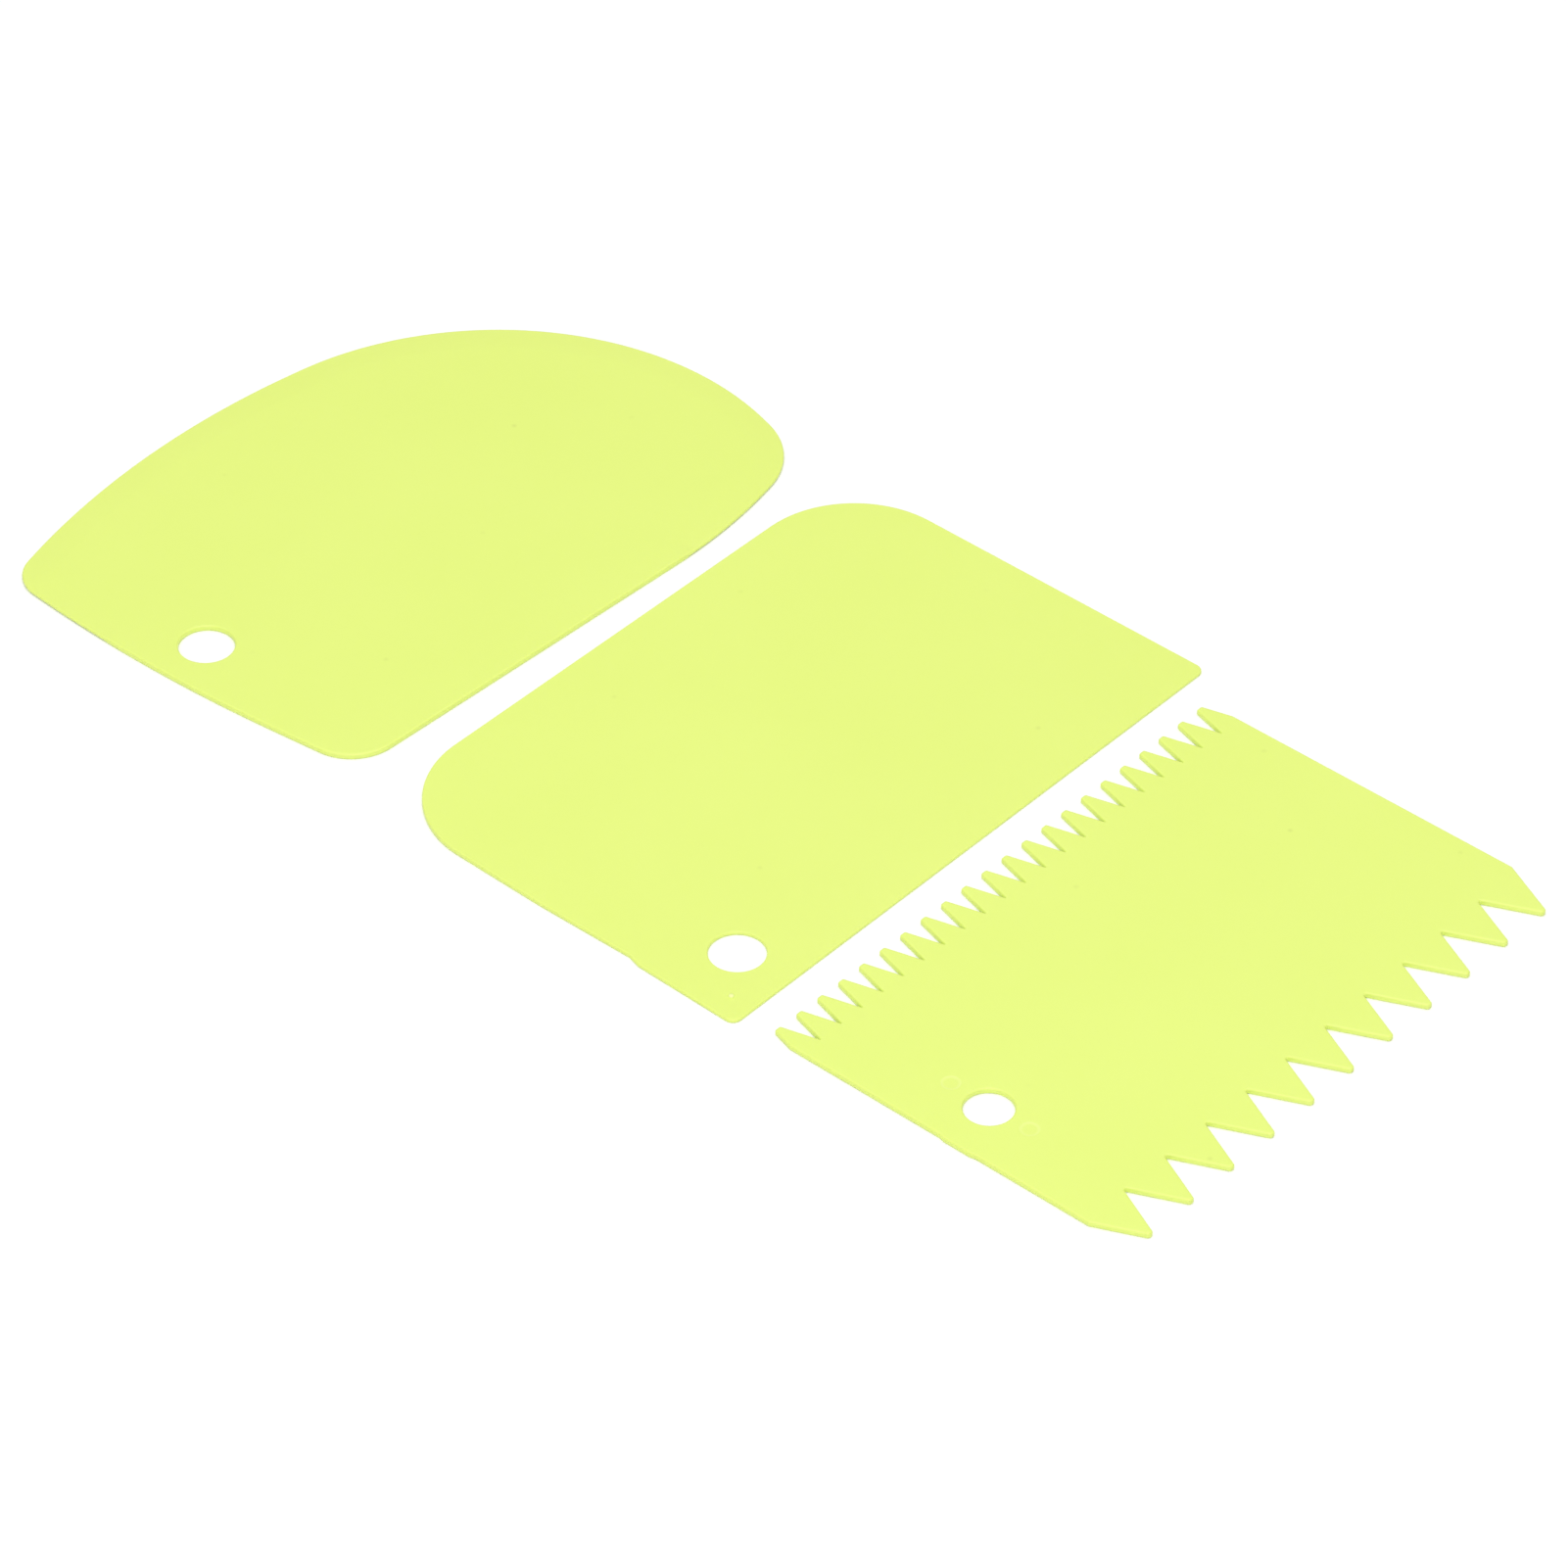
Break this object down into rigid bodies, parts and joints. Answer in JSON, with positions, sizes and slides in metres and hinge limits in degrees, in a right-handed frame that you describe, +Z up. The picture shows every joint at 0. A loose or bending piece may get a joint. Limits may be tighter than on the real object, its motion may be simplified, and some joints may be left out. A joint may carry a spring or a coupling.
{
  "type": "cake scraper set",
  "caption": "Set of thin plastic cake scrapers: a rounded bowl scraper, a straight-edged bench scraper and an icing comb with fine and coarse teeth, each with a hanging hole.",
  "frame": {"origin": "middle of the set's box, on the surface that the scrapers lie on", "axes": "+X along the row, from the bowl scraper to the icing comb; +Y along the scrapers' long edges, away from their hanging holes; +Z up, out of the surface"},
  "size_m": [0.2538, 0.1232, 0.001],
  "materials": {
    "lime_plastic": "satin"
  },
  "bodies": {
    "root": {"bowl_scraper": "lime_plastic", "bench_scraper": "lime_plastic", "icing_comb": "lime_plastic"}
  },
  "joints": []
}
